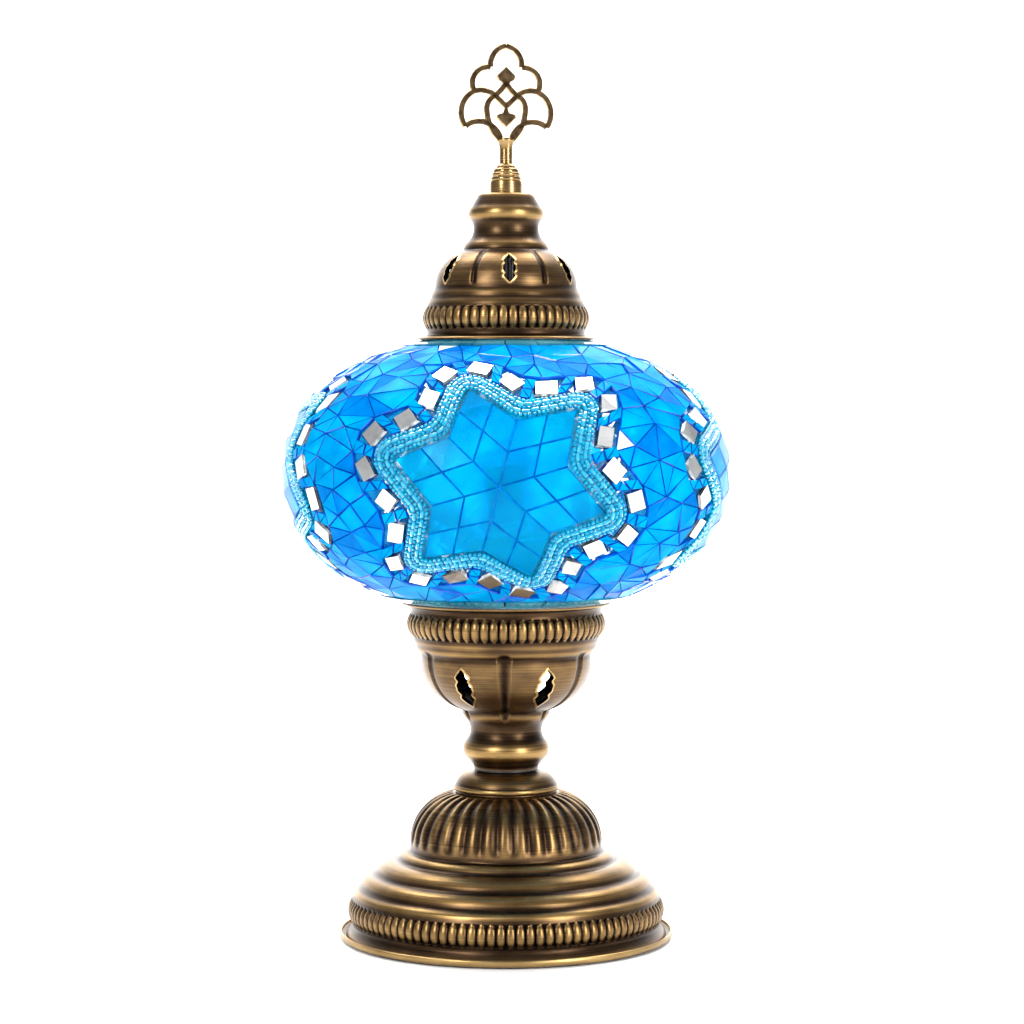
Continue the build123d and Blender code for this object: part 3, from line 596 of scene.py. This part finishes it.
cup_outer = profile(
    [(13.2, 68.9), (13.2, 69.7), (15.5, 72.6), (15.9, 80.2), (16.3, 88.7), (18.0, 92.6),
     (34.4, 115.4), (36.4, 118.5), (37.6, 122.2), (38.4, 131.8), (38.7, 134.3), (42.4, 135.0),
     (42.4, 135.9)],
    [0, 0, -1.9, 1.6, -0.4, -5.0, -0.5, -0.3, -2.2, 0, 0.3, 0])
cup_inner = profile(
    [(5.05, 68.9), (5.05, 71.4), (13.0, 71.4), (14.2, 73.4), (14.6, 79.8), (14.9, 89.2),
     (16.4, 93.4), (33.0, 116.2), (35.1, 119.4), (36.0, 122.6), (36.8, 131.6), (37.6, 135.9)],
    [0, 0, 0, -1.4, 1.6, -0.4, -5.0, -0.5, -0.3, -2.0, 0], 2.0)
cup_flutes = [-91 + 60 * k for k in range(6)]
cup_vents = [-61 + 60 * k for k in range(6)]
spun_shell("cup_shell", soften(cup_outer, 2), cup_inner, 650,
           [beaded(122.4, 131.6, 65, 0.85), wall_flutes(cup_flutes, 88.5, 117.6, 3.0, 5.2, 0.7)],
           antique_brass, "base", (cup_vents, 103.6, 7.6, 3.3))

cap_outer = profile(
    [(35.8, 241.4), (35.8, 242.0), (31.8, 243.0), (31.9, 245.4), (31.9, 254.5), (30.2, 257.9),
     (28.6, 261.8), (17.3, 276.9), (15.5, 280.6), (13.7, 288.6), (13.7, 294.7), (11.2, 299.1),
     (10.4, 299.7), (3.15, 299.7)],
    [0, -0.2, 0, -1.7, -0.3, -0.3, -3.2, -0.4, 1.3, -1.5, 0, -0.2, 0], 0.35)
cap_inner = profile(
    [(30.5, 241.4), (30.7, 245.7), (30.6, 254.0), (28.6, 257.5), (26.9, 261.4), (15.8, 276.1),
     (14.0, 280.4), (12.2, 288.6), (12.2, 294.6), (10.2, 298.6), (3.15, 298.6)],
    [0, -1.4, -0.3, -0.3, -3.2, -0.4, 1.3, -1.4, 0, 0], 2.0)
cap_flutes = [-57 + 60 * k for k in range(6)]
cap_vents = [-27 + 60 * k for k in range(6)]
spun_shell("cap_shell", soften(cap_outer, 2), cap_inner, 530,
           [beaded(245.4, 254.4, 53, 0.8), wall_flutes(cap_flutes, 262.6, 277.0, 2.6, 2.9, 0.6)],
           antique_brass, "cap", (cap_vents, 269.2, 5.5, 2.4))


# ---- openwork finial leaf --------------------------------------------------------------------
LEAF_YAW, LEAF_STROKE, LEAF_DEPTH, LEAF_EDGE = math.radians(10), 2.4, 2.0, 0.4
SPADE_DEPTH, SPADE_FACE = 1.0, 0.86
crown = 360 - LEAF_STROKE / 2
leaf_strands = [
    [(0, crown), (4.6, 356.0), (6.3, 350.2)],
    [(6.3, 350.2), (12.1, 348.0), (13.1, 340.8)],
    [(16.5, 326.4), (18.2, 332.8), (13.2, 340.4), (9.6, 341.0), (4.5, 338.9)],
    [(4.5, 338.9), (2.3, 336.6), (0, 334.6)],
    [(16.5, 326.4), (11.0, 328.6), (6.4, 327.2), (3.6, 324.6), (1.7, 319.4)],
    [(2.2, 321.0), (6.8, 327.8), (7.8, 332.6), (7.0, 336.6), (4.5, 338.9)],
    [(4.5, 338.9), (2.0, 341.2), (0, 344.0)],
]
spades = [
    [(0, 350.6), (3.9, 346.8), (3.5, 345.2), (1.9, 344.2), (0, 341.6), (-1.9, 344.2),
     (-3.5, 345.2), (-3.9, 346.8)],
    [(0, 326.0), (4.1, 330.1), (3.8, 331.4), (1.3, 332.1), (0, 335.6), (-1.3, 332.1),
     (-3.8, 331.4), (-4.1, 330.1)],
]


def leaf_point(x, z, depth):
    """Point of the upright leaf: across and up in its plane, and out of it."""
    return (x * math.cos(LEAF_YAW) + depth * math.sin(LEAF_YAW),
            x * math.sin(LEAF_YAW) - depth * math.cos(LEAF_YAW), z)


def three_point_arc(start, middle, end, count=9):
    """Even points on the circle through three points, or on a line."""
    (ax, ay), (bx, by), (cx, cy) = start, middle, end
    d = 2 * (ax * (by - cy) + bx * (cy - ay) + cx * (ay - by))
    if abs(d) < 2:
        return [(ax + (cx - ax) * k / count, ay + (cy - ay) * k / count) for k in range(count + 1)]
    a2, b2, c2 = ax * ax + ay * ay, bx * bx + by * by, cx * cx + cy * cy
    ox = (a2 * (by - cy) + b2 * (cy - ay) + c2 * (ay - by)) / d
    oy = (a2 * (cx - bx) + b2 * (ax - cx) + c2 * (bx - ax)) / d
    radius = math.hypot(ax - ox, ay - oy)
    first, mid, last = (math.atan2(y - oy, x - ox) for x, y in (start, middle, end))
    sweep = (last - first) % (2 * math.pi)
    if (mid - first) % (2 * math.pi) > sweep:
        sweep -= 2 * math.pi
    return [(ox + radius * math.cos(first + sweep * k / count),
             oy + radius * math.sin(first + sweep * k / count)) for k in range(count + 1)]


leaf_points, leaf_faces, leaf_mats = [], [], []


def leaf_skin(first, rows, n, side_mats, end_mat):
    """Faces round rows of n points of the leaf, and a flat face on each end row."""
    for row in range(rows - 1):
        for k in range(n):
            k2, low = (k + 1) % n, first + row * n
            leaf_faces.append((low + k, low + k2, low + n + k2, low + n + k))
            leaf_mats.append(side_mats[k])
    leaf_faces.append(tuple(first + k for k in reversed(range(n))))
    leaf_faces.append(tuple(first + (rows - 1) * n + k for k in range(n)))
    leaf_mats.extend((end_mat, end_mat))


def leaf_bar(line):
    """A bar along a line in the leaf's plane, dark on its faces and gold on its edges."""
    half, deep, edge = LEAF_STROKE / 2, LEAF_DEPTH / 2, LEAF_EDGE
    section = [(half, -deep + edge), (half, deep - edge), (half - edge, deep),
               (edge - half, deep), (-half, deep - edge), (-half, edge - deep),
               (edge - half, -deep), (half - edge, -deep)]
    line = np.array(line)
    run = np.gradient(line, axis=0)
    side = np.stack([run[:, 1], -run[:, 0]], 1) / np.hypot(run[:, 0], run[:, 1])[:, None]
    first, n = len(leaf_points), len(section)
    for (x, z), (sx, sz) in zip(line, side):
        leaf_points.extend(leaf_point(x + sx * a, z + sz * a, b) for a, b in section)
    leaf_skin(first, len(line), n, [0 if k in (2, 6) else 1 for k in range(n)], 1)


for mirrored in (1, -1):
    for strand in leaf_strands:
        line = []
        for start, middle, end in zip(strand[::2], strand[1::2], strand[2::2]):
            line += three_point_arc(start, middle, end)[bool(line):]
        leaf_bar([(x * mirrored, z) for x, z in line])
for spade in spades:
    middle = np.mean(spade, axis=0)
    first, n = len(leaf_points), len(spade)
    wall = SPADE_DEPTH * 0.6
    layers = [(SPADE_FACE, -SPADE_DEPTH), (1.0, -wall), (1.0, wall), (SPADE_FACE, SPADE_DEPTH)]
    for share, depth in layers:
        leaf_points.extend(leaf_point(*(middle + (np.array(p) - middle) * share), depth)
                           for p in spade)
    leaf_skin(first, len(layers), n, [1] * n, 0)
leaf = piece("leaf_openwork", leaf_points, leaf_faces, [leaf_dark, leaf_gold], leaf_mats,
             "finial", ["finial_ornament"])
smooth(leaf, 35)

# ---- globe surface ------------------------------------------------------------------------
CENTRE, RADIUS, RISE, DROP, POWER = 188.0, 90.6, 56.2, 57.0, 2.2
turns = np.radians(np.linspace(-90, 90, 3601))
halves = np.where(turns > 0, RISE, DROP)
face_r = RADIUS * np.cos(turns) ** (2 / POWER)
face_z = CENTRE + np.sign(turns) * halves * np.abs(np.sin(turns)) ** (2 / POWER)
steps = np.hypot(np.diff(face_r), np.diff(face_z))
face_v = np.concatenate([[0], np.cumsum(steps)])
face_v -= face_v[len(turns) // 2]


def on_globe(azimuth, v, inset=0.0):
    """Point on the globe, `inset` millimetres under the mosaic's face."""
    r, z = np.interp(v, face_v, face_r), np.interp(v, face_v, face_z)
    slope = math.atan2(np.interp(v + 0.5, face_v, face_z) - np.interp(v - 0.5, face_v, face_z),
                       np.interp(v + 0.5, face_v, face_r) - np.interp(v - 0.5, face_v, face_r))
    nr, nz = math.sin(slope), -math.cos(slope)
    r, z = r - inset * nr, z - inset * nz
    return np.array((r * math.cos(azimuth), r * math.sin(azimuth), z))


def v_at_radius(radius, half):
    """Arc length up the face where it has this radius, above (1) or below (-1)."""
    keep = turns > 0 if half > 0 else turns < 0
    order = np.argsort(face_r[keep])
    return float(np.interp(radius, face_r[keep][order], face_v[keep][order]))


# Distances outside the star: the band's edge, the line of mirrors, the field's edge.
BAND, MIRRORS, FIELD = 8.0, 12.9, 18.4
MEDALLION_TURN, STAR_TURN, STAR_DROP = -91.5, -14.0, 2.5
TIP, VALLEY = 44.0, 27.0
# Each tile: its depth, half the gap to the next one and the width of its bevel.
STAR_TILE, FIELD_TILE = (1.3, 0.14, 0.5), (1.4, 0.12, 0.55)
MIRROR_TILE, SHARD_TILE = (1.7, 0.0, 0.95), (1.2, 0.2, 0.35)
BEAD_GROUND, MIRROR_GROUND, FIELD_GROUND = 1.7, 1.75, 2.1


def medallion_place(index, across, up, inset=0.0):
    """Point on the globe at a place across and up from a medallion's middle."""
    v = up - STAR_DROP
    radius = np.interp(v, face_v, face_r)
    azimuth = math.radians(MEDALLION_TURN + 360 / MEDALLIONS * index) + across / radius
    return on_globe(azimuth, v, inset)


valley_point = (VALLEY * math.cos(math.pi / 6), VALLEY * math.sin(math.pi / 6))
LEAN = math.atan2(TIP - valley_point[0], valley_point[1])
EDGE = math.hypot(TIP - valley_point[0], valley_point[1])


def lost_length(offset):
    """Length that an edge of the star loses at its valley when moved out this far."""
    return offset / math.tan(math.acos(
        math.sin(LEAN) * math.cos(math.pi / 6) - math.cos(LEAN) * math.sin(math.pi / 6)))


def half_length(offset):
    """Length of the outline from a valley to the middle of the next tip."""
    return EDGE - lost_length(offset) + offset * LEAN


def outline_place(offset, distance):
    """(across, up, heading) at a length round the star's offset outline."""
    half = half_length(offset)
    lobe, rest = divmod(distance, 2 * half)
    along = rest - half
    travelled = half - abs(along)
    straight = EDGE - lost_length(offset)
    if travelled < straight:
        run = lost_length(offset) + travelled
        x = valley_point[0] + math.cos(LEAN) * offset + math.sin(LEAN) * run
        y = valley_point[1] + math.sin(LEAN) * offset - math.cos(LEAN) * run
        heading = LEAN - math.pi / 2
    else:
        turn = max(LEAN - (travelled - straight) / max(offset, 0.01), 0)
        x, y = TIP + offset * math.cos(turn), offset * math.sin(turn)
        heading = turn - math.pi / 2
    if along < 0:
        y, heading = -y, math.pi - heading
    turn = math.radians(STAR_TURN + 60 * lobe)
    return (x * math.cos(turn) - y * math.sin(turn),
            x * math.sin(turn) + y * math.cos(turn), heading + turn)


def outline(offset, spacing):
    """Evenly spaced (across, up, heading) places on the outline."""
    total = 12 * half_length(offset)
    count = int(round(total / spacing))
    return [outline_place(offset, total * (k + 0.5) / count) for k in range(count)]


def soft_outline(offset, spacing, window=9.0):
    """Evenly spaced (across, up, heading) places on the outline with rounded corners."""
    dense = np.array([outline_place(offset, 12 * half_length(offset) * k / 900)[:2]
                      for k in range(900)])
    reach = int(window / (12 * half_length(offset)) * 900 / 2)
    mean = sum(np.roll(dense, k, 0) for k in range(-reach, reach + 1)) / (2 * reach + 1)
    hops = np.hypot(*(np.roll(mean, -1, 0) - mean).T)
    run = np.concatenate([[0], np.cumsum(hops)])
    count = int(round(run[-1] / spacing))
    closed = np.concatenate([mean, mean[:1]])
    places = []
    for k in range(count):
        here = run[-1] * k / count
        x, y = (float(np.interp(here, run, closed[:, axis])) for axis in (0, 1))
        ahead = (here + 0.8) % run[-1]
        dx, dy = (float(np.interp(ahead, run, closed[:, axis])) for axis in (0, 1))
        places.append((x, y, math.atan2(dy - y, dx - x)))
    return places


class Shapes:
    """Points and faces of many small solids that make up one piece."""

    def __init__(self):
        self.points, self.faces, self.mats = [], [], []

    def tile(self, corners, sizes, faces=(0, 1)):
        """Flat cut tile: corners on the face, bevelled, its sides going inwards."""
        depth, gap, bevel = sizes
        corners = np.array(corners)
        middle = corners.mean(0)
        across = np.cross(corners[1] - corners[0], corners[2] - corners[0])
        if np.dot(across, middle - (0, 0, CENTRE)) < 0:
            corners, across = corners[::-1], -across
        across /= np.linalg.norm(across)
        reach = np.linalg.norm(corners - middle, axis=1).mean()
        edge = middle + (corners - middle) * (1 - gap / reach)
        top = middle + (corners - middle) * (1 - (gap + bevel) / reach)
        layers = [edge - across * depth, edge - across * bevel, top]
        first, n = len(self.points), len(corners)
        self.points += [tuple(p) for layer in layers for p in layer]
        self.faces.append(tuple(first + 2 * n + i for i in range(n)))
        self.mats.append(faces[0])
        self.faces.append(tuple(first + i for i in reversed(range(n))))
        self.mats.append(faces[0])
        for layer in range(2):
            for i in range(n):
                j = (i + 1) % n
                low, high = first + layer * n, first + (layer + 1) * n
                self.faces.append((low + i, low + j, high + j, high + i))
                self.mats.append(faces[1])

    def bead(self, centre, along, out, length, radius, mat):
        """Short rod or, at length 0, a round bead."""
        along, out = np.array(along), np.array(out)
        side = np.cross(out, along)
        sides = 8
        if length:
            rings = [(-length / 2, 0.62), (-length / 2 + 0.25, 1.0),
                     (length / 2 - 0.25, 1.0), (length / 2, 0.62)]
        else:
            rings = [(-0.82 * radius, 0.5), (-0.45 * radius, 0.88), (0.45 * radius, 0.88),
                     (0.82 * radius, 0.5)]
        first = len(self.points)
        for place, scale in rings:
            for k in range(sides):
                turn = 2 * math.pi * k / sides
                self.points.append(tuple(
                    centre + along * place
                    + (side * math.cos(turn) + out * math.sin(turn)) * radius * scale))
        for row in range(3):
            for k in range(sides):
                k2 = (k + 1) % sides
                a, b = first + row * sides, first + (row + 1) * sides
                self.faces.append((a + k, b + k, b + k2, a + k2))
                self.mats.append(mat)
        self.faces.append(tuple(first + k for k in range(sides)))
        self.faces.append(tuple(first + 3 * sides + k for k in reversed(range(sides))))
        self.mats += [mat, mat]

    def ground(self, index, offsets, inset, mat):
        """Grout surface under one medallion's ring, through outlines at these offsets."""
        rows = []
        for offset in offsets:
            total = 12 * half_length(offset)
            places = [outline_place(offset, total * k / 240) for k in range(240)]
            rows.append([medallion_place(index, x, y, inset) for x, y, _ in places])
        self.strip(rows, mat)

    def strip(self, rows, mat):
        """Surface through closed rows of points."""
        first, n = len(self.points), len(rows[0])
        self.points += [tuple(p) for row in rows for p in row]
        for r in range(len(rows) - 1):
            for k in range(n):
                k2 = (k + 1) % n
                a, b = first + r * n, first + (r + 1) * n
                self.faces.append((a + k, a + k2, b + k2, b + k))
                self.mats.append(mat)

    def make(self, name, mats, body, stands_for=()):
        return piece(name, self.points, self.faces, mats, self.mats, body, stands_for)


# ---- star panels: six arms, each of four rhombic tiles ----------------------------------------
def star_points(share_a, share_b, lobe):
    """Place in one arm's kite by shares along its two inner edges."""
    middle = STAR_TURN + 60 * lobe
    left, right, middle = (math.radians(middle + turn) for turn in (30, -30, 0))
    a = np.array((math.cos(left), math.sin(left))) * VALLEY
    b = np.array((math.cos(right), math.sin(right))) * VALLEY
    tip = np.array((math.cos(middle), math.sin(middle))) * TIP * 0.96
    return (a * share_a * (1 - share_b) + b * share_b * (1 - share_a) + tip * share_a * share_b)


stars = Shapes()
for index in range(MEDALLIONS):
    for lobe in range(6):
        for i in range(2):
            for j in range(2):
                shares = [(i, j), (i + 1, j), (i + 1, j + 1), (i, j + 1)]
                corners = [medallion_place(index, *star_points(a / 2, b / 2, lobe), 0.15)
                           for a, b in shares]
                stars.tile(corners, STAR_TILE)
stars.make("star_tiles", [star_face, star_edge], "globe", ["star_panels"])

# ---- bead bands ----------------------------------------------------------------------------
# Each row: its distance outside the star, and whether its beads are rods or round.
bead_rows = [(1.3, False), (2.9, True), (4.4, False), (5.9, True), (7.3, False)]
ROD_LENGTH, ROD_RADIUS, BEAD_INSET, JITTER = 3.1, 0.78, 0.7, 0.12
beads = Shapes()
for index in range(MEDALLIONS):
    beads.ground(index, (-0.5, BAND / 2, BAND), BEAD_GROUND, 2)
    for offset, rod in bead_rows:
        for x, y, heading in soft_outline(offset, 3.5 if rod else 1.8):
            x, y = x + rng.uniform(-JITTER, JITTER), y + rng.uniform(-JITTER, JITTER)
            centre = medallion_place(index, x, y, BEAD_INSET)
            ahead = medallion_place(index, x + math.cos(heading), y + math.sin(heading),
                                    BEAD_INSET)
            outward = centre - medallion_place(index, x, y, BEAD_INSET + 1)
            along = (ahead - centre) / np.linalg.norm(ahead - centre)
            if rod:
                beads.bead(centre, along, outward, ROD_LENGTH, ROD_RADIUS, 0)
            else:
                size = rng.uniform(0.72, 0.86)
                beads.bead(centre, along, outward, 0, size, 1)
bead_piece = beads.make("bead_rows", [bead_clear, bead_aqua, grout_aqua], "globe",
                        ["bead_bands"])
smooth(bead_piece, 50)

# ---- ring of bevelled mirrors ----------------------------------------------------------------
MIRROR_WIDE, MIRROR_TALL, MIRROR_SPIN = 4.6, 3.9, 0.3      # half sizes, and radians
mirrors = Shapes()
for index in range(MEDALLIONS):
    for x, y, heading in outline(MIRRORS, half_length(MIRRORS) / 2):
        spin = heading + rng.uniform(-MIRROR_SPIN, MIRROR_SPIN)
        wide = MIRROR_WIDE + rng.uniform(-0.4, 0.4)
        tall = MIRROR_TALL + rng.uniform(-0.35, 0.35)
        tilt = [rng.uniform(0.0, 0.75) for _ in range(4)]
        corners = []
        for (a, b), drop in zip([(-1, -1), (1, -1), (1, 1), (-1, 1)], tilt):
            dx = a * wide * math.cos(spin) - b * tall * math.sin(spin)
            dy = a * wide * math.sin(spin) + b * tall * math.cos(spin)
            corners.append(medallion_place(index, x + dx, y + dy, 0.1 + drop * 0.5))
        mirrors.tile(corners, MIRROR_TILE)
    total, pitch = 12 * half_length(MIRRORS), half_length(MIRRORS) / 2
    for k in range(24):
        for low, high in ((BAND + 0.6, MIRRORS - 0.2), (MIRRORS + 0.2, FIELD - 0.2)):
            shares = [(k * pitch + edge) / total for edge in (-2.4, 2.4)]
            quad = []
            for share, offset in ((0, low), (1, low), (1, high), (0, high)):
                place = outline_place(offset, 12 * half_length(offset) * (shares[share] % 1))
                quad.append(medallion_place(index, place[0], place[1], rng.uniform(0.1, 0.7)))
            mirrors.tile(quad[:3], SHARD_TILE, (3, 4))
            mirrors.tile([quad[0], quad[2], quad[3]], SHARD_TILE, (3, 4))
    mirrors.ground(index, (BAND, 12.0, 16.0, FIELD + 0.5), MIRROR_GROUND, 2)
mirrors.make("mirror_ring", [mirror_face, mirror_edge, grout_blue, blue_face, blue_edge],
             "globe", ["mirror_tiles"])

# ---- irregular blue field between the medallions -----------------------------------------------
top_v, low_v = v_at_radius(42.2, 1), v_at_radius(51.6, -1)
field_edge = [(x, y) for x, y, _ in outline(FIELD, 3.0)]


def medallion_gap(azimuth, v):
    """Distance outside the nearest medallion's outline, negative inside it."""
    radius = np.interp(v, face_v, face_r)
    nearest = np.full(np.shape(azimuth), 99.0)
    for index in range(MEDALLIONS):
        across = away(azimuth, MEDALLION_TURN + 360 / MEDALLIONS * index) * radius
        gap, inside = edge_distance(across, v + STAR_DROP, field_edge)
        signed = np.where(inside, -gap, gap)
        nearest = np.where(np.abs(across) < 78, np.minimum(nearest, signed), nearest)
    return nearest


RIM_PITCH, EDGE_PITCH, LEAST_PITCH, TRIES = 9.5, 9.0, 8.0, 5200
JOINED, PALE, AZURE = 0.3, 0.012, 0.3          # shares of the tiles
spots = []
for v in (top_v, low_v):
    count = int(round(2 * math.pi * np.interp(v, face_v, face_r) / RIM_PITCH))
    spots += [on_globe(2 * math.pi * k / count, v) for k in range(count)]
for index in range(MEDALLIONS):
    spots += [medallion_place(index, x, y) for x, y, _ in outline(FIELD, EDGE_PITCH)]
tries = np.array([(rng.uniform(0, 2 * math.pi), rng.uniform(low_v + 3, top_v - 3), rng.random())
                  for _ in range(TRIES)])
radii = np.interp(tries[:, 1], face_v, face_r)
clear = medallion_gap(tries[:, 0], tries[:, 1]) > 3.5
for azimuth, v, _ in tries[clear & (tries[:, 2] < radii / RADIUS)]:
    place = on_globe(azimuth, v)
    if np.min(np.linalg.norm(np.array(spots) - place, axis=1)) > LEAST_PITCH:
        spots.append(place)

hull = bmesh.new()
for place in spots:
    hull.verts.new(tuple(place))
bmesh.ops.convex_hull(hull, input=hull.verts)
some = [face for face in hull.faces if rng.random() < JOINED]
bmesh.ops.join_triangles(hull, faces=some, angle_face_threshold=0.35,
                         angle_shape_threshold=0.75)
field = Shapes()
for face in hull.faces:
    corners = [np.array(vert.co) for vert in face.verts]
    middle = np.mean(corners, axis=0)
    keep = turns > 0 if middle[2] > CENTRE else turns <= 0
    v = float(np.interp(middle[2], face_z[keep], face_v[keep]))
    if v > top_v - 0.8 or v < low_v + 0.8:
        continue
    if medallion_gap(np.array([math.atan2(middle[1], middle[0])]), np.array([v]))[0] < 0:
        continue
    inward = np.array((0, 0, CENTRE)) - middle
    inward /= np.linalg.norm(inward)
    lowered = [corner + inward * rng.uniform(0, 1.0) for corner in corners]
    choice = rng.random()
    shade = 3 if choice < PALE else 4 if choice < AZURE else 0
    field.tile(lowered, FIELD_TILE, (shade, 1))
hull.free()
around, rows = 180, 24
heights = np.linspace(low_v + 0.2, top_v - 0.2, rows + 1)
skirt = [[on_globe(2 * math.pi * k / around, v, FIELD_GROUND) for k in range(around)] for v in heights]
middle_v, middle_turn = np.meshgrid((heights[1:] + heights[:-1]) / 2,
                                    2 * np.pi * (np.arange(around) + 0.5) / around,
                                    indexing="ij")
outside = medallion_gap(middle_turn, middle_v) > 0
first = len(field.points)
field.points += [tuple(p) for row in skirt for p in row]
for row, k in zip(*np.nonzero(outside)):
    k2 = (k + 1) % around
    low, high = first + row * around, first + (row + 1) * around
    field.faces.append((int(low + k), int(low + k2), int(high + k2), int(high + k)))
    field.mats.append(2)
field.make("field_tiles", [blue_face, blue_edge, grout_blue, pale_face, azure_face], "globe",
           ["mosaic_field"])
